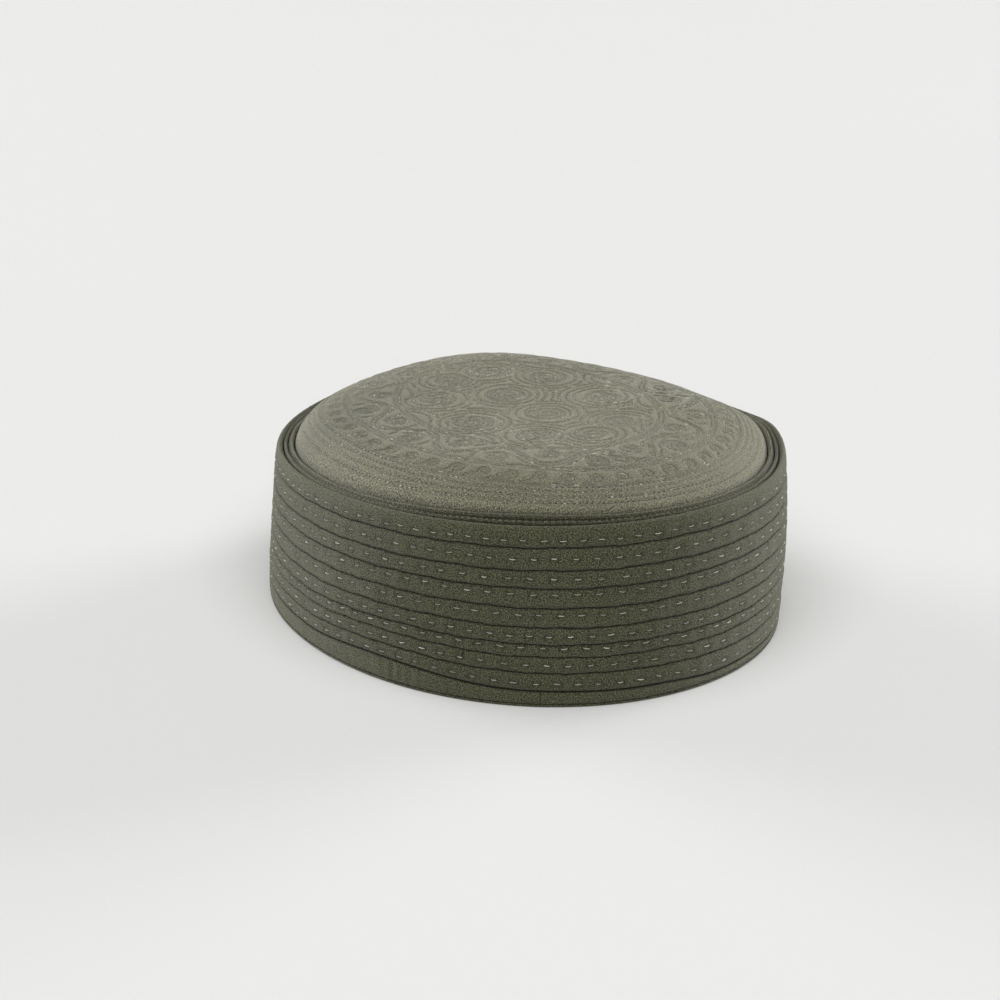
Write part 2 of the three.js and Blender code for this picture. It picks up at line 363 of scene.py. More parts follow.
def bell(distance, spread):
    return np.exp(-((distance / spread) ** 2))


def bell_round(bearing, place, spread):
    """A bell at a bearing in degrees, round a place with a spread, both angles in radians"""
    return bell(turn_between(bearing, math.degrees(place)), math.degrees(spread))


def smooth(value):
    """Eases from 0 to 1 while value goes from 0 to 1"""
    held = np.clip(value, 0.0, 1.0)
    return held * held * (3.0 - 2.0 * held)


def eased_share(table, bearing):
    """Value at a bearing of a table of (bearing, value), eased from one entry to the next"""
    places = np.array([entry[0] for entry in table] + [table[0][0] + FULL_TURN])
    values = np.array([entry[1] for entry in table] + [table[0][1]])
    wrapped = places[0] + (np.asarray(bearing, float) - places[0]) % FULL_TURN
    index = np.clip(np.searchsorted(places, wrapped, side="right") - 1, 0, len(table) - 1)
    along = (wrapped - places[index]) / (places[index + 1] - places[index])
    ease = 0.5 - 0.5 * np.cos(np.pi * along)
    return values[index] + (values[index + 1] - values[index]) * ease


def rim_height(bearing):
    shape = settings().shape
    slope = -shape.front_rise * np.sin(np.radians(bearing))
    hump = shape.back_rise * bell_round(bearing, shape.back_bearing, shape.back_spread)
    corner = shape.corner_rise * bell_round(bearing, shape.corner_bearing, shape.corner_spread)
    return shape.side_height + slope + hump + corner


def trim_climb(bearing):
    """How much higher the crown's edge stands over the rim, where the trim climbs inwards"""
    rim = settings().rim
    return rim.climb * bell_round(bearing, rim.climb_bearing, rim.climb_spread)


def hem_height(bearing):
    return settings().shape.hem_height * eased_share(HEM_HEIGHTS, bearing)


def line_height(share, bearing):
    """Height of a quilted line, which keeps its share high up and follows the hem low down"""
    rim = rim_height(bearing)
    hem_shift = (hem_height(bearing) - settings().shape.hem_height) / rim
    turn = np.radians(bearing)
    wander = np.sin(17 * turn + 40 * share) + np.sin(41 * turn + 90 * share)
    wander = wander + 0.7 * np.sin(97 * turn + 150 * share)
    return (share + hem_shift * (1.0 - share) ** 2) * rim + 0.11 * MM * wander


def dent_at(bearing, share):
    swell = 0.0
    for place, height, width, rise, depth in WALL_DENTS:
        swell = swell + depth * bell(turn_between(bearing, place), width) * bell(share - height, rise)
    return settings().shape.dent_depth * swell * np.sin(np.pi * np.minimum(share, 1.0))


def plan_radius(bearing, grow):
    """Radius of the oval plan at a bearing, with both half axes grown by the same amount"""
    shape = settings().shape
    turn = np.radians(bearing)
    across = np.abs(np.cos(turn)) / (shape.hem_width / 2 + grow)
    along = np.abs(np.sin(turn)) / (shape.hem_length / 2 + grow)
    return (across**shape.plan_power + along**shape.plan_power) ** (-1.0 / shape.plan_power)


def cap_middle():
    """Where the plan's middle stands in the frame"""
    low, high = CROWN_BOX
    return (low.x + high.x) / 2 - settings().shape.rim_lean, (low.y + high.y) / 2


def wall_point(bearing, height, offset=0.0):
    """Points of the wall at a bearing and a height, offset outwards from its outer face"""
    shape = settings().shape
    share = height / rim_height(bearing)
    bow = shape.wall_bow * 4.0 * share * (1.0 - share)
    grow = bow - shape.rim_taper * share + dent_at(bearing, share) + offset
    radius = plan_radius(bearing, grow)
    turn = np.radians(bearing)
    middle_x, middle_y = cap_middle()
    x = middle_x + radius * np.cos(turn) + shape.rim_lean * share
    y = middle_y + radius * np.sin(turn)
    return np.stack(np.broadcast_arrays(x, y, height), axis=-1)


def unit(vectors):
    return vectors / np.linalg.norm(vectors, axis=-1, keepdims=True)


def distances_along(points):
    """How far along its line each point lies"""
    steps = np.linalg.norm(np.diff(points, axis=0), axis=1)
    return np.concatenate([[0.0], np.cumsum(steps)])


def plan_at(distance, along, line):
    """Plan at a distance along a line whose points lie at the given distances"""
    return np.stack([np.interp(distance, along, line[:, axis]) for axis in (0, 1)], axis=-1)


def hem_outline():
    """Fine bearings round the hem, and how far along its outline each one lies"""
    fine = np.linspace(-180.0, 180.0, 7201)
    return fine, distances_along(wall_point(fine, np.zeros_like(fine)))


def bearing_at(distance):
    """Bearing at a distance along the hem's outline, which starts at -180 degrees"""
    fine, along = hem_outline()
    return np.interp(np.asarray(distance) % along[-1], along, fine)


def distance_at(bearing):
    """Distance along the hem's outline at a bearing"""
    fine, along = hem_outline()
    return np.interp(bearing, fine, along)


def outline_length():
    return hem_outline()[1][-1]


def wobble(distance, rng, waves, period):
    """A smooth repeating wave along the outline, about 1 high, of several wavelengths in mm"""
    total = np.zeros_like(distance)
    for wave in waves:
        cycles = max(1, round(period / (wave * MM)))
        total += np.sin(2 * np.pi * (cycles * distance / period + rng.random()))
    return total / math.sqrt(len(waves))


# Meshes


def rows_of(*columns):
    """Rows made of columns that are first spread over each other, such as a face of its corners"""
    return np.stack(np.broadcast_arrays(*columns), axis=-1).reshape(-1, len(columns))


def mesh_piece(name, points, faces, material, uv=None, **values):
    """A smooth mesh object that rides on the cap's one body, with its cloth map and point values"""
    mesh = bpy.data.meshes.new(name)
    points = np.asarray(points, np.float32).reshape(-1, 3)
    corners = np.concatenate([group.ravel() for group in faces]).astype(np.int32)
    sides = np.concatenate([np.full(len(group), group.shape[1], np.int32) for group in faces])
    starts = np.concatenate([[0], np.cumsum(sides)[:-1]]).astype(np.int32)
    mesh.vertices.add(len(points))
    mesh.vertices.foreach_set("co", points.ravel())
    mesh.loops.add(len(corners))
    mesh.loops.foreach_set("vertex_index", corners)
    mesh.polygons.add(len(sides))
    mesh.polygons.foreach_set("loop_start", starts)
    mesh.polygons.foreach_set("use_smooth", np.ones(len(sides), bool))
    if uv is not None:
        layer = mesh.uv_layers.new(name="cloth")
        layer.data.foreach_set("uv", np.asarray(uv, np.float32)[corners].ravel())
    for label, each in values.items():
        attribute = mesh.attributes.new(label, "FLOAT", "POINT")
        attribute.data.foreach_set("value", np.asarray(each, np.float32).ravel())
    mesh.update(calc_edges=True)
    mesh.validate()
    mesh.materials.append(material)
    piece = placed(name, mesh)
    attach(piece, "root")
    return piece


def placed(name, data):
    """A new object of the scene"""
    made = bpy.data.objects.new(name, data)
    bpy.context.scene.collection.objects.link(made)
    return made


def ring_piece(name, sections, along, material, painted_shades):
    """A closed ring from sections that run up the outside, inwards over the top and down the inside,
    with a cloth map in metres along and up, and its painted shade as a point value"""
    stations, sides, _ = sections.shape
    steps = np.linalg.norm(np.diff(sections, axis=1), axis=2)
    up = np.concatenate([np.zeros((stations, 1)), np.cumsum(steps, axis=1)], axis=1)
    here = np.arange(stations)[:, None] * sides
    beside = np.roll(here, -1, axis=0)
    side = np.arange(sides)
    above = (side + 1) % sides
    faces = rows_of(here + side, beside + side, beside + above, here + above)
    return mesh_piece(name, sections, [faces], material, rows_of(along[:, None], up), seam=painted_shades)


def stitch_piece(name, starts, ends, ups, width, arch, material, rng, rings=5, sides=5):
    """One mesh of small thread stitches, each a closed arched tube from its start to its end"""
    count = len(starts)
    direction = unit(ends - starts)
    across = unit(np.cross(ups, direction))
    lift = np.cross(direction, across)

    along = 0.5 - 0.5 * np.cos(np.pi * (np.arange(rings) + 0.35) / (rings - 0.3))
    raised = arch * (1.0 - (2.0 * along - 1.0) ** 2)
    reach = starts[:, None] + (ends - starts)[:, None] * along[None, :, None]
    reach = reach + lift[:, None] * raised[None, :, None]
    radius = width / 2 * (1.0 - np.abs(2.0 * along - 1.0) ** 5) ** 0.5
    radius = radius[None, :] * (1.0 + 0.12 * rng.standard_normal((count, 1)))
    turn = 2 * np.pi * np.arange(sides) / sides
    ring = across[:, None, None] * np.cos(turn)[None, None, :, None]
    ring = ring + lift[:, None, None] * np.sin(turn)[None, None, :, None]
    body = (reach[:, :, None] + ring * radius[:, :, None, None]).reshape(count, -1, 3)
    points = np.concatenate([body, starts[:, None], ends[:, None]], axis=1)

    loop = np.arange(sides)
    after = (loop + 1) % sides
    foot = np.arange(rings - 1)[:, None] * sides
    tip = rings * sides
    last = tip - sides
    tube = rows_of(foot + loop, foot + after, foot + sides + after, foot + sides + loop)
    caps = np.concatenate([rows_of(after, loop, tip), rows_of(last + loop, last + after, tip + 1)])
    each = np.arange(count)[:, None, None] * (tip + 2)
    faces = [(tube + each).reshape(-1, 4), (caps + each).reshape(-1, 3)]
    return mesh_piece(name, points, faces, material, tone=np.repeat(rng.random(count), tip + 2))


# Materials


class Finish:
    """A material made of shader nodes, where an input is a value or another node's output"""

    def __init__(self, name):
        self.material = bpy.data.materials.new(name)
        self.material.use_nodes = True
        self.tree = self.material.node_tree
        self.tree.nodes.clear()

    def node(self, kind, inputs, output=0, **options):
        """Adds a shader node with its options and inputs, and gives one of its outputs"""
        made = self.tree.nodes.new("ShaderNode" + kind)
        for name, value in options.items():
            setattr(made, name, value)
        for name, value in inputs.items():
            if isinstance(value, bpy.types.NodeSocket):
                self.tree.links.new(value, made.inputs[name])
            else:
                made.inputs[name].default_value = value
        return made.outputs[output]

    def maths(self, operation, *values):
        return self.node("Math", dict(enumerate(values)), operation=operation)

    def total(self, start, *terms):
        """A start value plus (output, weight) terms"""
        for output, weight in terms:
            start = self.maths("MULTIPLY_ADD", output, weight, start)
        return start

    def scaled(self, vector, factor):
        """A place or a colour multiplied by one factor"""
        return self.node("VectorMath", {0: vector, "Scale": factor}, operation="SCALE")

    def noise(self, place, scale, detail, roughness=0.6):
        """Cloth noise around zero, at a scale in features per millimetre"""
        inputs = {"Vector": place, "Scale": scale, "Detail": detail, "Roughness": roughness}
        return self.maths("SUBTRACT", self.node("TexNoise", inputs, "Fac"), 0.5)

    def bands(self, place, scale, distortion, detail, direction, detail_scale=1.0):
        """Fine bands of thread in one direction"""
        inputs = {"Vector": place, "Scale": scale, "Distortion": distortion, "Detail": detail}
        inputs["Detail Scale"] = detail_scale
        return self.node("TexWave", inputs, "Fac", wave_type="BANDS", bands_direction=direction)

    def weave(self, place, scale, direction, distortion):
        """Bands of the weave in one direction, around zero"""
        bands = self.bands(place, scale, distortion, 2.0, direction, 1.3)
        return self.maths("SUBTRACT", bands, 0.5)

    def point_value(self, label):
        return self.node("Attribute", {}, "Fac", attribute_name=label)

    def finished(self, inputs):
        """Ends the material in one shader"""
        shader = self.node("BsdfPrincipled", inputs)
        output = self.tree.nodes.new("ShaderNodeOutputMaterial")
        self.tree.links.new(shader, output.inputs["Surface"])
        return self.material


def cloth_material(name, base, weave_depth, seam_shade=0.8, grain=1.35):
    """Woven cotton: fine twill, speckle, slubs, soft colour changes, and painted shade in the seams,
    holes and creases
    """
    cloth = Finish(name)
    in_mm = cloth.scaled(cloth.node("UVMap", {}, uv_map="cloth"), 1000.0)
    warp = cloth.weave(in_mm, 0.80, "X", 1.6)
    weft = cloth.weave(in_mm, 0.80, "Y", 1.6)
    twill = cloth.weave(in_mm, 0.46, "DIAGONAL", 2.6)
    fibre = cloth.noise(in_mm, 3.4, 1.0, 0.7)
    speckle = cloth.noise(in_mm, 1.7, 2.0, 0.65)
    slub = cloth.noise(in_mm, 0.32, 3.0)
    mottle = cloth.noise(in_mm, 0.035, 2.0)
    crossing = cloth.maths("MULTIPLY", warp, weft)
    height = cloth.total(0.5, (crossing, 2.0), (twill, 0.35), (fibre, 2.6), (speckle, 2.2))
    bump = cloth.node("Bump", {"Strength": 0.8, "Distance": weave_depth, "Height": height})

    fine = ((fibre, 6.5 * grain), (speckle, 4.6 * grain), (crossing, 0.8 * grain), (twill, 0.12 * grain))
    tone = cloth.maths("MAXIMUM", cloth.total(1.0, *fine, (slub, 0.55), (mottle, 0.40)), 0.18)
    # Painted shade: the point value darkens the cloth where seams, stitch holes, creases and tucks lie
    in_seam = cloth.maths("MULTIPLY", cloth.point_value("seam"), seam_shade)
    shade = cloth.maths("MULTIPLY", tone, cloth.maths("SUBTRACT", 1.0, in_seam))
    warmer = (base[0] * 1.05, base[1] * 0.98, base[2] * 0.88, 1.0)
    mix = {0: cloth.maths("ADD", slub, 0.5), 6: (*base, 1.0), 7: warmer}
    hue = cloth.node("Mix", mix, 2, data_type="RGBA")
    return cloth.finished(
        {
            **SOFT_SHEEN,
            "Base Color": cloth.scaled(hue, shade),
            "Roughness": cloth.total(0.87, (speckle, 0.14)),
            "Normal": bump,
            "Specular IOR Level": 0.25,
            "Sheen Weight": 0.34,
        }
    )


def thread_material(name, base, spread, sheen, roughness, glint_rarity=3.0):
    """Twisted thread with a painted glint: the colour of some stitches is made much brighter than others
    """
    thread = Finish(name)
    place = thread.node("TexCoord", {}, "Object")
    ply = thread.bands(place, 1150.0, 1.5, 1.0, "DIAGONAL")
    fibre = thread.node("TexNoise", {"Vector": place, "Scale": 2600.0, "Detail": 2.0}, "Fac")
    height = thread.maths("ADD", ply, fibre)
    # Painted glint: a few stitches get a much brighter colour
    glint = thread.maths("POWER", thread.point_value("tone"), glint_rarity)
    each = thread.total(1.0 - 0.3 * spread, (glint, spread))
    shade = thread.maths("MULTIPLY", each, thread.total(0.80, (ply, 0.35)))
    return thread.finished(
        {
            **SOFT_SHEEN,
            "Base Color": thread.scaled((*base,), shade),
            "Roughness": thread.total(roughness, (fibre, 0.15)),
            "Normal": thread.node("Bump", {"Strength": 0.6, "Distance": 0.00006, "Height": height}),
            "Specular IOR Level": 0.4,
            "Sheen Weight": sheen,
        }
    )


def floor_material():
    """Pale matt board with the faintest unevenness"""
    board = Finish("pale_board")
    place = board.node("TexCoord", {}, "Object")
    cloud = board.node("TexNoise", {"Vector": place, "Scale": 1.3, "Detail": 2.0}, "Fac")
    tone = board.maths("ADD", board.maths("MULTIPLY", cloud, 0.02), 0.99)
    pale = board.scaled((*settings().colours.floor,), tone)
    return board.finished({"Base Color": pale, "Roughness": 0.9, "Specular IOR Level": 0.1})


def shared_thread(name):
    """The thread material of that name, made once"""
    made = bpy.data.materials.get(name)
    return made or thread_material(name, getattr(settings().colours, name), *THREADS[name])


# Quilted wall


def wall_seams(bearing):
    """Heights of the hem line, the quilted lines and the foot of the rolled edge"""
    shape = settings().shape
    foot = hem_height(bearing) + shape.sewn_gap
    lines = [line_height(share, bearing) for share in WALL_LINES]
    return [foot, *lines, rim_height(bearing) - shape.roll_height]


def running_row(index):
    """Distances along the hem's outline of the middles of one row's running stitches"""
    rng = np.random.default_rng(300 + index)
    _, pitch, shift = RUNNING_ROWS[index]
    around = outline_length()
    count = round(around / pitch)
    start = distance_at(HEM_JOIN_BEARING) + shift
    jitter = 0.07 * pitch * rng.uniform(-1.0, 1.0, count)
    return np.sort((start + np.arange(count) * around / count + jitter) % around)


def nearest_gap(distance, places, around):
    """Signed distance along the outline from each place to the nearest of the given ones"""
    closed = np.concatenate([[places[-1] - around], places, [places[0] + around]])
    index = np.clip(np.searchsorted(closed, distance), 1, len(closed) - 1)
    before = distance - closed[index - 1]
    after = closed[index] - distance
    return np.where(before < after, before, -after)


def channel_offset(along, top_channel):
    """Offset of a channel's face at a share of its height, from one seam up to the next"""
    quilting = settings().quilting
    depth = quilting.seam_depth
    rise = (depth + quilting.puff) * (1.0 - np.abs(2.0 * along - 1.0) ** 6)
    if not top_channel:
        return rise - depth
    rolled = quilting.puff * (1.0 - smooth(2.0 * along - 1.0))
    return np.where(along < 0.5, rise - depth, rolled)


def level_sections(bearing, levels):
    """Points and painted shade of sections, from levels of (height, offset, painted shade) in their
    order
    """
    heights, offsets, painted_shades = (
        np.stack([np.broadcast_to(level[part], bearing.shape) for level in levels], axis=1)
        for part in range(3)
    )
    return wall_point(bearing[:, None], heights, offsets), painted_shades


def wall_sections(bearing, along):
    """Points of the wall's sections, and the painted shade of each one, darker in the seams and the
    stitch holes
    """
    shape = settings().shape
    quilting = settings().quilting
    rng = np.random.default_rng(11)
    around = outline_length()
    seams = wall_seams(bearing)
    rim = rim_height(bearing)
    channels = list(zip(seams, seams[1:]))
    fine = [wobble(along, rng, SEAM_WAVES, around) for _ in seams]
    slow = [wobble(along, rng, CHANNEL_WAVES, around) for _ in seams]
    levels = []
    for index, (foot, head) in enumerate(channels):
        step = head - foot
        stitch_gap = nearest_gap(along, running_row(index), around)
        half = quilting.stitch_length / 2
        holes = bell(np.abs(stitch_gap) - half, HOLE_REACH)
        under = bell(stitch_gap, half)
        top_channel = index == len(channels) - 1
        for share in CHANNEL_STEPS:
            by_foot = bell(share * step, SEAM_REACH) * (share > 0)
            by_head = 0.0 if top_channel else bell((1.0 - share) * step, SEAM_REACH)
            swell = 0.9 * slow[index] * math.sin(math.pi * share)
            puckers = fine[index] * by_foot + fine[index + 1] * by_head + swell
            offset = channel_offset(share, top_channel) + quilting.pucker * puckers
            row_distance = (share - RUNNING_ROWS[index][0]) * step
            close = bell(row_distance, PULL_REACH)
            press_and_shade_share = holes * close + 0.35 * under * close + 0.3 * bell(row_distance, FURROW_REACH)
            # Painted shade: darker by the quilted lines and in the stitch holes
            low_seam = bell(share * 5.6, 0.25)
            high_seam = 0.0 if top_channel else bell((1 - share) * 5.6, 0.25)
            depth = max(low_seam, high_seam) + 0.85 * holes * close
            levels.append((foot + step * share, offset - quilting.dimple * press_and_shade_share, depth))

    edge_pucker = wobble(along, rng, (2.1, 3.1, 4.7), around)
    for turn in np.linspace(0.0, np.pi, 9):
        below = shape.roll_height * (1.0 - math.sin(turn))
        inwards = shape.wall_thickness * (1.0 - math.cos(turn)) / 2
        height = rim - below + 0.06 * MM * math.sin(turn) * edge_pucker
        levels.append((height, -inwards + 0.05 * MM * math.cos(turn) * edge_pucker, 0.0))

    inner = -shape.wall_thickness
    # The inner face, with painted shade along each seam
    for foot, head in reversed(channels):
        levels.append((foot + (head - foot) * 0.5, inner, 0.0))
        levels.append((foot, inner + 0.25 * MM, 1.0))
    return level_sections(bearing, levels)


class KUFI_OT_quilted_wall(bpy.types.Operator):
    """Builds the padded wall with its quilted channels, dimples and rolled edge"""

    bl_idname = "kufi.quilted_wall"
    bl_label = "Quilted wall"

    def execute(self, context):
        colours = settings().colours
        count = settings().quilting.stations
        along = np.arange(count) * outline_length() / count
        sections, painted_shades = wall_sections(bearing_at(along), along)
        material = cloth_material("quilted_cotton", colours.wall, 0.00016)
        wall = ring_piece("quilted_wall", sections, along, material, painted_shades)
        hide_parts("side_band")
        return {"FINISHED"}


def outward_at(bearing, height):
    """Unit vectors that point out of the wall"""
    return unit(wall_point(bearing, height, 1.0 * MM) - wall_point(bearing, height, 0.0))


class KUFI_OT_running_stitches(bpy.types.Operator):
    """Sews the rows of light running stitches, one row in each channel of the wall"""

    bl_idname = "kufi.running_stitches"
    bl_label = "Running stitches"

    def execute(self, context):
        quilting = settings().quilting
        rng = np.random.default_rng(21)
        rows = []
        for index, (share, _, _) in enumerate(RUNNING_ROWS):
            middles = running_row(index)
            count = len(middles)
            half = quilting.stitch_length / 2 * rng.uniform(0.82, 1.12, count)
            slant = rng.normal(0.0, 0.09 * MM, count)
            shift = rng.normal(0.0, 0.14 * MM, count)
            face = float(channel_offset(np.array(share), index == len(RUNNING_ROWS) - 1))
            tips = []
            for sign in (-1.0, 1.0):
                bearing = bearing_at(middles + sign * half)
                seams = wall_seams(bearing)
                height = seams[index] + (seams[index + 1] - seams[index]) * share
                height = height + shift + sign * slant
                tips.append(wall_point(bearing, height, face - 0.30 * MM))
            rows.append((*tips, outward_at(bearing_at(middles), np.full(count, 30 * MM))))
        parts = [np.concatenate(part) for part in zip(*rows)]
        thread = shared_thread("light_thread")
        stitch_piece("running_stitches", *parts, quilting.stitch_width, 0.36 * MM, thread, rng, 7, 6)
        return {"FINISHED"}


def line_stitches(height_of, offset, pitch, rng, slant=0.0, fill=0.96):
    """Starts, ends and outward vectors of stitches along a line round the wall"""
    around = outline_length()
    count = round(around / pitch)
    first = rng.random() * pitch
    middles = first + np.arange(count) * around / count
    half = around / count * fill / 2
    left = bearing_at(middles - half)
    right = bearing_at(middles + half)
    starts = wall_point(left, height_of(left) - slant, offset)
    ends = wall_point(right, height_of(right) + slant, offset)
    middle = bearing_at(middles)
    return starts, ends, outward_at(middle, height_of(middle))


def loose_end():
    """The machine thread's short loose end, which hangs from the second line up the wall"""
    bearings = np.array([LOOSE_END_BEARING, LOOSE_END_BEARING, LOOSE_END_BEARING - 0.25])
    drops = np.array([-0.2, 1.0, 2.1]) * MM
    heights = line_height(WALL_LINES[1], bearings) - drops
    places = wall_point(bearings, heights, 0.32 * MM)
    return places[:-1], places[1:], outward_at(bearings[:-1], heights[:-1])


class KUFI_OT_machine_lines(bpy.types.Operator):
    """Sews the dark machine lines between the channels and the hem line, with the thread's short loose
    end
    """

    bl_idname = "kufi.machine_lines"
    bl_label = "Machine lines"

    def execute(self, context):
        quilting = settings().quilting
        rng = np.random.default_rng(31)
        pitch = quilting.machine_pitch
        floor_of_seam = -quilting.seam_depth + 0.16 * MM
        rows = []
        for share in WALL_LINES:
            height_of = partial(line_height, share)
            step = pitch * rng.uniform(0.95, 1.08)
            rows.append(line_stitches(height_of, floor_of_seam, step, rng, 0.09 * MM, 0.82))
        rows.append(line_stitches(hem_seam_height, -0.42 * MM, pitch, rng, 0.05 * MM))
        rows.append(loose_end())
        parts = [np.concatenate(part) for part in zip(*rows)]
        thread = shared_thread("dark_thread")
        stitch_piece("machine_lines", *parts, quilting.machine_width, 0.12 * MM, thread, rng)
        return {"FINISHED"}


# Hem


def hem_sections(bearing, along):
    """Points of the folded hem's sections, and the painted shade of each one, darker along the edge
    line, in the join and under the upper lip
    """
    rng = np.random.default_rng(41)
    around = outline_length()
    top = hem_height(bearing)
    pucker = wobble(along, rng, (2.3, 3.4, 5.1, 8.3), around)
    broad = wobble(along, rng, (11, 19), around)
    join_gap = along - distance_at(HEM_JOIN_BEARING)
    fold = np.where(join_gap < 0, 0.22 * MM * np.exp(join_gap / (4 * MM)), 0.0)
    join = -0.5 * MM * bell(join_gap, JOIN_WIDTH)
    # Painted shade in the upright join
    in_join = 0.8 * bell(join_gap, 0.2 * MM)
    gathers_gap = along - distance_at(PUCKER_BEARING)
    gathers = 0.26 * MM * np.cos(2 * np.pi * gathers_gap / PUCKER_PITCH)
    gathers = gathers * bell(gathers_gap, PUCKER_SPREAD)

    foot = HEM_FOLD[-1][0] * MM
    head = np.maximum(top - 0.75 * MM, foot + 0.1 * MM)
    levels = []
    for height, offset in HEM_FOLD:
        relief = min(1.0, height) * (0.05 * MM * pucker + fold + join + 0.5 * gathers)
        # Painted shade along the edge line
        depth = bell(height * MM - HEM_LINE_HEIGHT, 0.16 * MM) + in_join
        levels.append((height * MM, offset * MM + relief, depth))
    for share in (0.25, 0.5, 0.75, 1.0):
        swell = 0.14 * MM * math.sin(math.pi * (0.2 + 0.6 * share))
        relief = swell + 0.07 * MM * pucker + 0.06 * MM * broad + fold + join + gathers
        levels.append((foot + (head - foot) * share, relief, in_join))
    for below, offset, depth in HEM_LIP:
        relief = 0.05 * MM * pucker + 0.4 * (fold + gathers)
        levels.append((np.maximum(top - below * MM, head), offset * MM + relief, depth))
    inner = -settings().shape.wall_thickness
    levels += [(top, inner, 0.0), (top * 0.6, inner, 0.0), (0.5 * MM, inner, 0.0)]
    levels.append((0.0, inner + 0.5 * MM, 0.0))
    return level_sections(bearing, levels)


def hem_line_height(bearing):
    return np.full(np.shape(bearing), HEM_LINE_HEIGHT)


def hem_seam_height(bearing):
    return hem_height(bearing) + 0.15 * MM


class KUFI_OT_folded_hem(bpy.types.Operator):
    """Builds the folded hem with its edge line, its upright join and its puckers"""

    bl_idname = "kufi.folded_hem"
    bl_label = "Folded hem"

    def execute(self, context):
        quilting = settings().quilting
        rng = np.random.default_rng(51)
        even = np.arange(quilting.stations) * outline_length() / quilting.stations
        by_join = distance_at(HEM_JOIN_BEARING) + np.linspace(-1.2, 1.2, 25) * MM
        along = np.unique(np.concatenate([even, by_join]))
        sections, painted_shades = hem_sections(bearing_at(along), along)
        # Painted light: the hem is the wall's cloth made 6% lighter, standing in for light that the low
        # hem lacks
        base = [1.06 * value for value in settings().colours.wall]
        material = cloth_material("hem_cotton", base, 0.00016, seam_shade=0.7)
        hem = ring_piece("folded_hem", sections, along, material, painted_shades)
        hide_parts("bottom_hem")
        stitches = line_stitches(hem_line_height, -0.20 * MM, 2.6 * MM, rng, fill=0.8)
        thread = shared_thread("dark_thread")
        stitch_piece("hem_edge_line", *stitches, 0.30 * MM, 0.1 * MM, thread, rng)
        return {"FINISHED"}


# Rim


def strip_sections(bearing, along, seat, width, tall, rise, sides):
    """Points of a rolled strip's sections, with small gathers across it, and where their creases lie for
    the painted shade
    """
    rim_settings = settings().rim
    rng = np.random.default_rng(60 + sides)
    around = outline_length()
    rim = rim_height(bearing)
    gathers = round(around / rim_settings.gather_pitch)
    drift = 0.35 * wobble(along, rng, (7, 13), around)
    phase = 2 * np.pi * gathers * along / around + drift
    lift = 0.09 * MM * wobble(along, rng, (17, 31, 58), around)
    sections = []
    for side in range(sides):
        turn = 2 * np.pi * (side + 0.5) / sides
        pinch = rim_settings.gather_depth * np.cos(phase + 0.8 * math.sin(turn))
        pinch = pinch * (0.35 + 0.65 * max(0.0, math.sin(turn)))
        offset = -seat - width / 2 + math.cos(turn) * (width / 2 + pinch)
        height = rim + rise - tall / 2 + math.sin(turn) * (tall / 2 + pinch) + lift
        sections.append(wall_point(bearing, height, offset))
    return np.stack(sections, axis=1), 0.5 - 0.5 * np.cos(phase)


class KUFI_OT_rolled_rim(bpy.types.Operator):
    """Builds the two gathered strips between the wall and the crown, with their stitches"""

    bl_idname = "kufi.rolled_rim"
    bl_label = "Rolled rim"

    def execute(self, context):
        shape = settings().shape
        rim = settings().rim
        rng = np.random.default_rng(61)
        along = np.arange(rim.stations) * outline_length() / rim.stations
        bearing = bearing_at(along)
        material = cloth_material("trim_cotton", settings().colours.trim, 0.00013)
        ridge_seat = shape.wall_thickness + shape.sewn_gap
        piping_seat = ridge_seat + rim.ridge_width + shape.sewn_gap
        climb = trim_climb(bearing)
        # Painted shade of the strips, kept in full by the joined end and a third of it elsewhere
        press_and_shade_share = 0.35 + 0.65 * bell_round(bearing, rim.climb_bearing, 2.1 * rim.climb_spread)
        ridge_rise = rim.ridge_rise + rim.ridge_climb * climb
        piping_rise = rim.piping_rise + rim.piping_climb * climb
        strips = (
            ("rim_ridge", ridge_seat, rim.ridge_width, rim.ridge_height, ridge_rise, 10),
            ("rim_piping", piping_seat, rim.piping_width, rim.piping_height, piping_rise, 14),
        )
        for node, seat, width, tall, rise, sides in strips:
            sections, crease = strip_sections(bearing, along, seat, width, tall, rise, sides)
            # Painted shade in the creases of the gathers and on each strip's outer and inner flanks
            flank = np.abs(np.cos(2 * np.pi * (np.arange(sides) + 0.5) / sides)) ** 4
            painted_shades = (0.2 * crease[:, None] ** 3 + 0.8 * flank[None, :]) * press_and_shade_share[:, None]
            strip = ring_piece(node + "_roll", sections, along, material, painted_shades)
            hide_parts(node)

        rows = (
            ("ridge_stitches", rim.ridge_rise - 0.14 * MM, rim.ridge_climb, ridge_seat + 0.5 * MM),
            ("piping_stitches", rim.piping_rise - 0.42 * MM, rim.piping_climb, piping_seat + 0.4 * MM),
        )
        for name, lift, climb_share, seat in rows:
            starts, ends, _ = line_stitches(
                lambda place: rim_height(place) + lift + climb_share * trim_climb(place), -seat,
                rim.gather_pitch, rng, fill=0.55,
            )
            thread = shared_thread("rim_thread")
            stitch_piece(name, starts, ends, UPWARDS, 0.24 * MM, 0.1 * MM, thread, rng)
        return {"FINISHED"}


# Crown


def crown_seat():
    shape = settings().shape
    rim = settings().rim
    return shape.wall_thickness + rim.ridge_width + rim.piping_width + 3 * shape.sewn_gap


def crown_middle():
    """Where the crown's middle stands in plan"""
    middle_x, middle_y = cap_middle()
    return np.array([middle_x + settings().shape.rim_lean, middle_y])


def crown_edge(bearing):
    """Plan of the crown's edge from its middle, and the rim's height there"""
    rim = rim_height(bearing)
    edge = wall_point(bearing, rim, -crown_seat())
    return edge[..., :2] - crown_middle(), rim


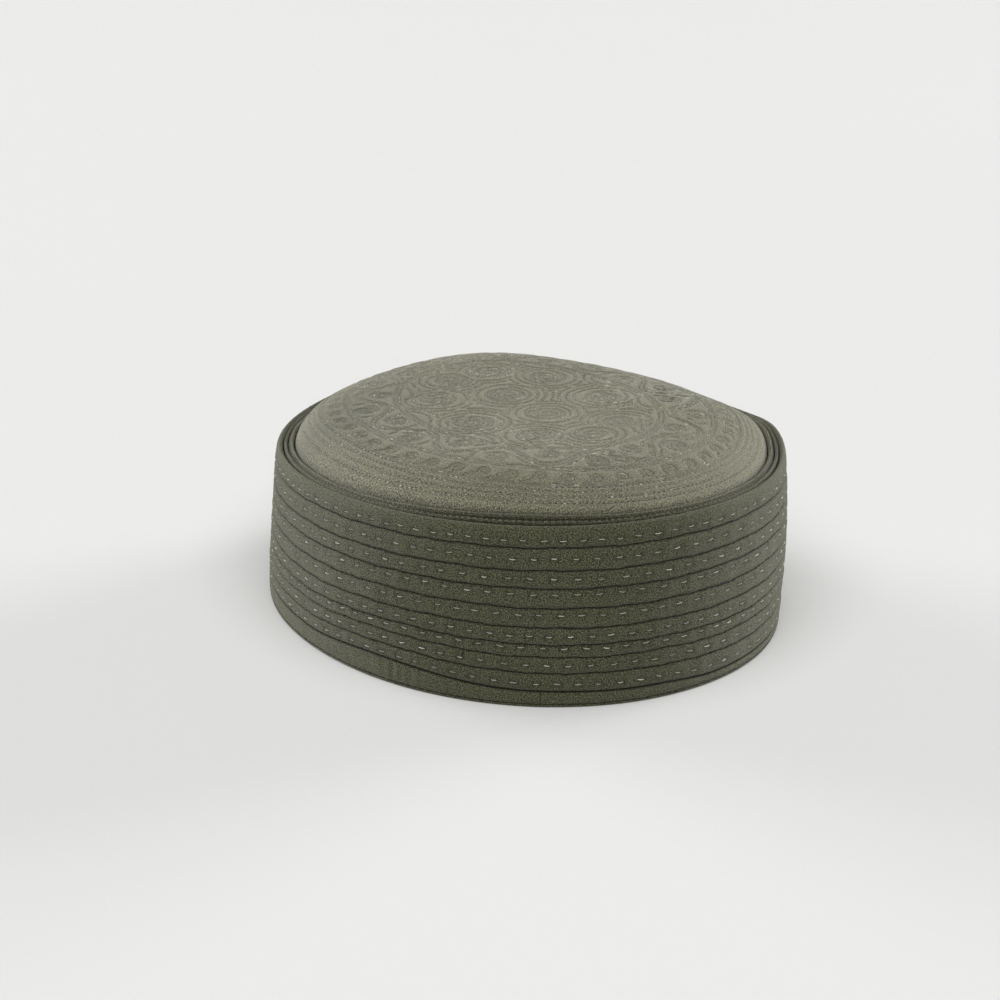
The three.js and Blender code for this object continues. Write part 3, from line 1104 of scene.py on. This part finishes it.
def crown_point(bearing, share):
    """Points of the crown's smooth upper face, where share is 0 in the middle and 1 at the edge"""
    crown = settings().crown
    side_height = settings().shape.side_height
    outward, rim = crown_edge(bearing)
    middle = crown_middle()
    x = middle[0] + outward[..., 0] * share
    y = middle[1] + outward[..., 1] * share
    edge_level = rim + crown.edge_rise + trim_climb(bearing)
    level = side_height + (edge_level - side_height) * share**2
    squarer = crown.square_power * bell_round(bearing, crown.square_bearing, crown.square_spread)
    z = level + crown.puff * (1.0 - share ** (crown.shoulder_power + squarer))
    return np.stack(np.broadcast_arrays(x, y, z), axis=-1)


def crown_place(plan):
    """Bearing and share of points given by their plan from the crown's middle"""
    bearing = np.degrees(np.arctan2(plan[..., 1], plan[..., 0]))
    outward, _ = crown_edge(bearing)
    return bearing, np.linalg.norm(plan, axis=-1) / np.linalg.norm(outward, axis=-1)


def crown_border():
    """Plan, inward direction and distance along of fine points round the crown's edge"""
    bearing = np.linspace(-180.0, 180.0, 3601)
    edge, _ = crown_edge(bearing)
    tangent = unit(np.gradient(edge, axis=0))
    inward = np.stack([-tangent[:, 1], tangent[:, 0]], axis=1)
    return edge, inward, distances_along(edge)


def border_plan(border, share, inset):
    """Plan of points at a share of the way round the crown's edge, set in from it"""
    edge, inward, along = border
    distance = (np.asarray(share) % 1.0) * along[-1]
    turn = unit(plan_at(distance, along, inward))
    return plan_at(distance, along, edge) + turn * np.asarray(inset)[..., None]


def spiral_line(middle, radius, start_angle, turns, hand, inner=0.9 * MM):
    """A spiral in plan, from its outer end to its eye"""
    share = np.linspace(0.0, 1.0, max(24, int(30 * turns)))
    reach = radius + (inner - radius) * share
    angle = start_angle + hand * 2 * np.pi * turns * share
    return middle + np.stack([reach * np.cos(angle), reach * np.sin(angle)], axis=-1)


def angle_between(start, end):
    step = np.asarray(end) - np.asarray(start)
    return math.atan2(step[1], step[0])


def double_spiral(middle, radius, towards, hand, turns):
    """A two-line scroll whose outer end opens towards a point"""
    angle = angle_between(middle, towards)
    return [
        spiral_line(middle, radius, angle, turns, hand),
        spiral_line(middle, radius - 1.5 * MM, angle + hand * 0.5, turns - 0.35, hand, 0.6 * MM),
    ]


def nearest_distances(points, others):
    """Distance in plan from each point to the nearest of the others"""
    tree = kdtree.KDTree(len(others))
    for index, (x, y) in enumerate(others):
        tree.insert((x, y, 0.0), index)
    tree.balance()
    return np.array([tree.find((x, y, 0.0))[2] for x, y in points])


def open_runs(line, laid, clearance):
    """Parts of a line that keep clear of the lines already laid"""
    free = nearest_distances(line, laid) > clearance
    changes = np.flatnonzero(np.diff(free.astype(int))) + 1
    runs = np.split(np.arange(len(line)), changes)
    return [line[run] for run in runs if free[run[0]] and len(run) > 9]


def circle_line(middle, radius):
    turn = np.linspace(0.0, 2 * np.pi, max(24, int(radius / (0.06 * MM))))
    return middle + radius * np.stack([np.cos(turn), np.sin(turn)], axis=-1)


def inset_line(border, inset):
    around = np.linspace(0.0, 1.0, 900)
    return border_plan(border, around, np.full(900, inset))


def wave_scrolls(border, inset, radius, count, rng):
    """A running wave of small scrolls round the crown, each curling up from the foot of the last"""
    lines = []
    for index in range(count):
        share = (index + 0.5) / count
        eye = border_plan(border, share, inset + rng.normal(0.0, 0.25 * MM))
        foot = border_plan(border, share - 0.55 / count, inset - radius * 1.05)
        wide = radius * rng.uniform(0.88, 1.1)
        curl = spiral_line(eye, wide, angle_between(eye, foot), 1.5, -1.0, 0.5 * MM)
        lines.append(np.concatenate([foot[None], curl]))
    return lines


def echo_lines(eyes, laid, start_radius):
    """Arcs round each eye that fill the cloth still free between the lines already laid"""
    crown = settings().crown
    limit = laid
    echoes = []
    for step in range(1, 5):
        for eye in eyes:
            ring = circle_line(eye, start_radius + step * crown.echo_spacing)
            for run in open_runs(ring, limit, 0.66 * crown.echo_spacing):
                if crown_place(run)[1].max() < 0.86:
                    echoes.append(run)
                    limit = np.concatenate([limit, resample(run, 0.5 * MM)])
    return echoes


def scroll_lines():
    """Lines of the crown's embroidery in plan: first the border's waves, rings, vine and scrolls,
    then those of the middle with the echo lines that fill the cloth between them"""
    count = settings().crown.scrolls
    rng = np.random.default_rng(73)
    border = crown_border()
    around = np.linspace(0.0, 1.0, 900)
    outer = wave_scrolls(border, WAVE_INSET * MM, 2.7 * MM, 2 * count + 4, rng)
    outer += [inset_line(border, inset * MM) for inset in RING_INSETS]
    vine = VINE_INSET * MM + VINE_SWING * MM * np.sin(np.pi * count * around)
    outer += [border_plan(border, around, vine + side * MM) for side in (-0.9, 0.9)]
    eyes = []
    for index in range(count):
        share = (index + 0.5 + rng.normal(0.0, 0.03)) / count
        side = 1.0 if index % 2 else -1.0
        eye = border_plan(border, share, (VINE_INSET + side * 3.6) * MM)
        branch = border_plan(border, share - 0.52 / count, VINE_INSET * MM)
        outer += double_spiral(eye, 5.0 * MM * rng.uniform(0.9, 1.08), branch, side, 1.7)
        eyes.append(eye)

    inner = []
    for index in range(ROSETTE_SCROLLS):
        share = (index + 0.25 + rng.normal(0.0, 0.05)) / ROSETTE_SCROLLS
        hand = -1.0 if index % 2 else 1.0
        eye = border_plan(border, share, ROSETTE_INSET * MM)
        towards = border_plan(border, share + 0.02, 39.0 * MM)
        inner += double_spiral(eye, 7.6 * MM * rng.uniform(0.9, 1.1), towards, hand, 2.2)
        eyes.append(eye)
    for place, hand in ((-12.5 * MM, 1.0), (12.5 * MM, -1.0)):
        eye = np.array([0.0, place])
        inner += double_spiral(eye, 8.2 * MM, (0.0, 0.0), hand, 2.4)
        eyes.append(eye)
    laid = np.concatenate([resample(line, 0.5 * MM) for line in outer + inner])
    return outer, inner + echo_lines(eyes, laid, 5.4 * MM)


def row_inset(row):
    """Distance of a stitched row from the crown's edge, in plan"""
    crown = settings().crown
    return crown.first_row + row * crown.row_spacing


def row_lines():
    """Lines of the machine rows by the crown's edge, in plan"""
    border = crown_border()
    return [inset_line(border, row_inset(row)) for row in range(settings().crown.rows)]


def resample(line, pitch):
    """Points along a line at an even pitch"""
    along = distances_along(line)
    count = max(2, int(along[-1] / pitch))
    return plan_at(np.linspace(0.0, along[-1], count + 1), along, line)


def square_to_disc(cells):
    """Bearings and shares of an even grid on a disc, laid out as a square grid of rings"""
    steps = np.linspace(-1.0, 1.0, cells + 1)
    across, along = np.meshgrid(steps, steps, indexing="ij")
    share = np.maximum(np.abs(across), np.abs(along))
    safe = np.where(share > 0, share, 1.0)
    wide = np.abs(across) >= np.abs(along)
    slope = np.where(wide, along, across) / safe
    by_side = np.where(across >= 0, 0.0, np.pi) + np.sign(across) * slope * np.pi / 4
    by_end = np.where(along >= 0, np.pi / 2, -np.pi / 2) - np.sign(along) * slope * np.pi / 4
    return np.degrees(np.where(wide, by_side, by_end)), share


def crown_relief(plan, share, bearing):
    """Height added to the crown's smooth face, and the painted shade of each point: in the embroidered
    lines, the stitched rows and the tucked edge, and soft darker patches
    """
    crown = settings().crown
    rng = np.random.default_rng(71)
    outward, _ = crown_edge(bearing)
    inset = (1.0 - share) * np.linalg.norm(outward, axis=-1)
    outer, inner = scroll_lines()
    scrolls = np.concatenate([resample(line, 0.35 * MM) for line in outer + inner])
    away = nearest_distances(plan, scrolls)
    in_line = bell(away, LINE_WIDTH)
    padded = smooth(away / PADDING_WIDTH)
    relief = crown.quilt_puff * padded - crown.line_depth * in_line
    # Painted shade in the embroidered lines
    depth = 0.7 * in_line
    turn = np.radians(bearing)
    for row in range(crown.rows):
        in_row = bell(inset - row_inset(row), ROW_WIDTH)
        relief = relief - 1.2 * crown.line_depth * in_row
        # Painted shade in the stitched row
        depth = np.maximum(depth, 0.65 * in_row)
    edge_pucker = np.sin(turn * 233 + 2.0 * np.sin(turn * 7) + 4 * inset / crown.row_spacing)
    relief = relief + 0.05 * MM * edge_pucker * bell(inset, 8 * MM)
    slack = sum(
        np.sin(plan[:, 0] * wave[0] + plan[:, 1] * wave[1] + wave[2])
        for wave in np.column_stack([rng.normal(0, 130, (7, 2)), rng.uniform(0, 6.3, 7)])
    )
    relief = relief + 0.10 * MM * slack / math.sqrt(7) * smooth(inset / (12 * MM))
    # Painted shade: soft darker patches, most towards the crown's left and right
    for x, y, spread, shade in CROWN_SHADES:
        away = np.hypot(plan[:, 0] - x * MM, plan[:, 1] - y * MM)
        depth = depth + shade * bell(away, spread * MM)
    # The tucked edge sinks and takes painted shade
    tuck = bell(inset, TUCK_WIDTH)
    return relief - TUCK_DEPTH * tuck, np.maximum(depth, tuck)


class KUFI_OT_scroll_crown(bpy.types.Operator):
    """Builds the puffed crown, pressed in along its stitched rows and embroidered scrolls"""

    bl_idname = "kufi.scroll_crown"
    bl_label = "Scroll crown"

    def execute(self, context):
        crown = settings().crown
        bearing, share = (values.ravel() for values in square_to_disc(crown.grid))
        upper = crown_point(bearing, share)
        relief, depth = crown_relief(upper[:, :2] - crown_middle(), share, bearing)
        upper[:, 2] += relief

        index = np.arange(len(upper)).reshape(crown.grid + 1, crown.grid + 1)
        edge = np.concatenate([index[:-1, 0], index[-1, :-1], index[:0:-1, -1], index[0, :0:-1]])
        under = [crown_point(bearing[edge], value) for value in UNDER_SHARES]
        under.append(crown_point(np.zeros(1), 0.0))
        for ring in under:
            ring[:, 2] -= crown.thickness
        points = np.concatenate([upper, *under])
        rings = [len(upper) + ring * len(edge) + np.arange(len(edge)) for ring in range(len(under) - 1)]
        faces = [rows_of(index[:-1, :-1], index[1:, :-1], index[1:, 1:], index[:-1, 1:])]
        for outer, inner in zip([edge, *rings], rings):
            faces.append(rows_of(np.roll(outer, -1), outer, inner, np.roll(inner, -1)))
        faces.append(rows_of(np.roll(rings[-1], -1), rings[-1], len(points) - 1))

        painted_shades = np.concatenate([depth, np.zeros(len(points) - len(upper))])
        base = settings().colours.crown
        material = cloth_material("embroidered_cotton", base, 0.00010, seam_shade=0.42, grain=0.64)
        panel = mesh_piece("scroll_crown", points, faces, material, points[:, :2], seam=painted_shades)
        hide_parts("crown_top")
        return {"FINISHED"}


def crown_stitches(lines, pitch, fill, shift, lift, rng):
    """Starts and ends of stitches along lines in plan, laid on the crown, where shift moves each
    one along by a share of the pitch"""
    starts = []
    ends = []
    for line in lines:
        places = resample(line, pitch)
        step = places[1:] - places[:-1]
        starts.append(places[:-1] + step * (shift + (1.0 - fill) / 2))
        ends.append(places[1:] + step * (shift - (1.0 - fill) / 2))
    laid = []
    for plan in (np.concatenate(starts), np.concatenate(ends)):
        plan = plan + rng.normal(0.0, 0.04 * MM, plan.shape)
        bearing, share = crown_place(plan)
        point = crown_point(bearing, share)
        point[:, 2] += lift
        laid.append(point)
    return laid


class KUFI_OT_crown_threads(bpy.types.Operator):
    """Embroiders the crown's scrolls and sews the rows by its edge"""

    bl_idname = "kufi.crown_threads"
    bl_label = "Crown threads"

    def execute(self, context):
        crown = settings().crown
        rng = np.random.default_rng(81)
        pitch = crown.stitch_length + crown.stitch_gap
        fill = crown.stitch_length / pitch
        base = settings().colours.tone_thread
        # The embroidery thread's painted glint is stronger and rarer
        tone = thread_material("embroidery_thread", base, 1.5, 0.3, 0.38, glint_rarity=6.0)
        outer, inner = scroll_lines()
        dark = shared_thread("dark_thread")
        width = crown.stitch_width
        sets = (
            ("border_threads", outer, pitch, fill, 0.0, -0.27 * MM, width, tone),
            ("scroll_threads", inner, pitch, fill, 0.0, -0.27 * MM, width, tone),
            ("crown_rows", row_lines(), 1.9 * MM, 0.55, 0.0, -0.26 * MM, 0.34 * MM, tone),
            # Painted shadow: dark thread dashes in the gaps between the row stitches, where the holes
            # lie in shade
            ("crown_row_gaps", row_lines(), 1.9 * MM, 0.36, 0.5, -0.28 * MM, 0.26 * MM, dark),
        )
        for name, lines, step, share, shift, lift, thick, material in sets:
            starts, ends = crown_stitches(lines, step, share, shift, lift, rng)
            stitch_piece(name, starts, ends, UPWARDS, thick, 0.15 * MM, material, rng)
        return {"FINISHED"}


# Stage


def view_axes():
    """Directions away from the cap towards the camera, to the camera's right, and up in its view"""
    stage = settings().stage
    azimuth = stage.camera_azimuth
    elevation = stage.camera_elevation
    level = math.cos(elevation)
    back = Vector((math.sin(azimuth) * level, -math.cos(azimuth) * level, math.sin(elevation)))
    right = Vector((math.cos(azimuth), math.sin(azimuth), 0.0))
    return back, right, back.cross(right)


def add_sun(name, towards_light, strength, spread):
    """A broad soft light that falls evenly from one direction"""
    light = bpy.data.lights.new(name, "SUN")
    light.energy = strength
    light.angle = math.radians(spread)
    lamp = placed(name, light)
    lamp.rotation_euler = towards_light.to_track_quat("Z", "Y").to_euler()
    lamp.location = towards_light.normalized() * 1.5


class KUFI_OT_stage(bpy.types.Operator):
    """Lays the pale floor and sets up the soft lights and the camera"""

    bl_idname = "kufi.stage"
    bl_label = "Stage"

    def execute(self, context):
        stage = settings().stage
        scene = bpy.context.scene
        reach = stage.floor_reach
        mesh = bpy.data.meshes.new("floor")
        corners = [(x * reach, y * reach, 0.0) for x, y in ((-1, -1), (1, -1), (1, 1), (-1, 1))]
        mesh.from_pydata(corners, [], [(0, 1, 2, 3)])
        mesh.materials.append(floor_material())
        floor = placed("floor", mesh)

        back, right, up = view_axes()
        away = Vector((-back.x, -back.y, 0.0)).normalized()
        sky = Vector((0.0, 0.0, 1.0))
        for name, side, depth, rise, spread in LIGHTS:
            strength = stage.top_light if name == "top_light" else stage.side_light
            add_sun(name, right * side + away * depth + sky * rise, strength, spread)

        world = bpy.data.worlds.new("soft_room")
        world.use_nodes = True
        background = world.node_tree.nodes["Background"]
        background.inputs["Color"].default_value = (1.0, 1.0, 1.0, 1.0)
        background.inputs["Strength"].default_value = stage.sky_light
        scene.world = world
        scene.view_settings.view_transform = "Standard"

        middle_x, middle_y = cap_middle()
        target = Vector((middle_x, middle_y, stage.target_height))
        target += up * stage.rise_offset - right * stage.side_offset
        camera_data = bpy.data.cameras.new("photo_view")
        camera_data.lens = stage.lens
        camera_data.sensor_width = 36.0
        camera_data.clip_start = 0.01
        camera_data.clip_end = 50.0
        camera = placed("photo_view", camera_data)
        camera.location = target + back * stage.camera_distance
        camera.rotation_euler = back.to_track_quat("Z", "Y").to_euler()
        scene.camera = camera
        return {"FINISHED"}


class KUFI_PT_panel(bpy.types.Panel):
    """Sizes, colours and steps of the kufi"""

    bl_idname = "KUFI_PT_panel"
    bl_label = "Quilted kufi"
    bl_space_type = "VIEW_3D"
    bl_region_type = "UI"
    bl_category = "Kufi"

    def draw(self, context):
        kufi = context.scene.kufi_settings
        for group in (kufi.shape, kufi.quilting, kufi.rim, kufi.crown, kufi.colours, kufi.stage):
            box = self.layout.box()
            for name in group.bl_rna.properties.keys():
                if name not in ("rna_type", "name"):
                    box.prop(group, name)
        for step in STEPS:
            self.layout.operator(step.bl_idname)


STEPS = (
    KUFI_OT_stage,
    KUFI_OT_quilted_wall,
    KUFI_OT_running_stitches,
    KUFI_OT_machine_lines,
    KUFI_OT_folded_hem,
    KUFI_OT_rolled_rim,
    KUFI_OT_scroll_crown,
    KUFI_OT_crown_threads,
)

CLASSES = (
    KufiShape,
    KufiQuilting,
    KufiRim,
    KufiCrown,
    KufiColours,
    KufiStage,
    KufiSettings,
    *STEPS,
    KUFI_PT_panel,
)


def register():
    for each in CLASSES:
        bpy.utils.register_class(each)
    bpy.types.Scene.kufi_settings = PointerProperty(type=KufiSettings)


def unregister():
    del bpy.types.Scene.kufi_settings
    for each in reversed(CLASSES):
        bpy.utils.unregister_class(each)


def main():
    """Builds the cap and its stage, step by step"""
    register()
    bpy.ops.kufi.stage()
    bpy.ops.kufi.quilted_wall()
    bpy.ops.kufi.running_stitches()
    bpy.ops.kufi.machine_lines()
    bpy.ops.kufi.folded_hem()
    bpy.ops.kufi.rolled_rim()
    bpy.ops.kufi.scroll_crown()
    bpy.ops.kufi.crown_threads()


if __name__ == "__main__":
    main()
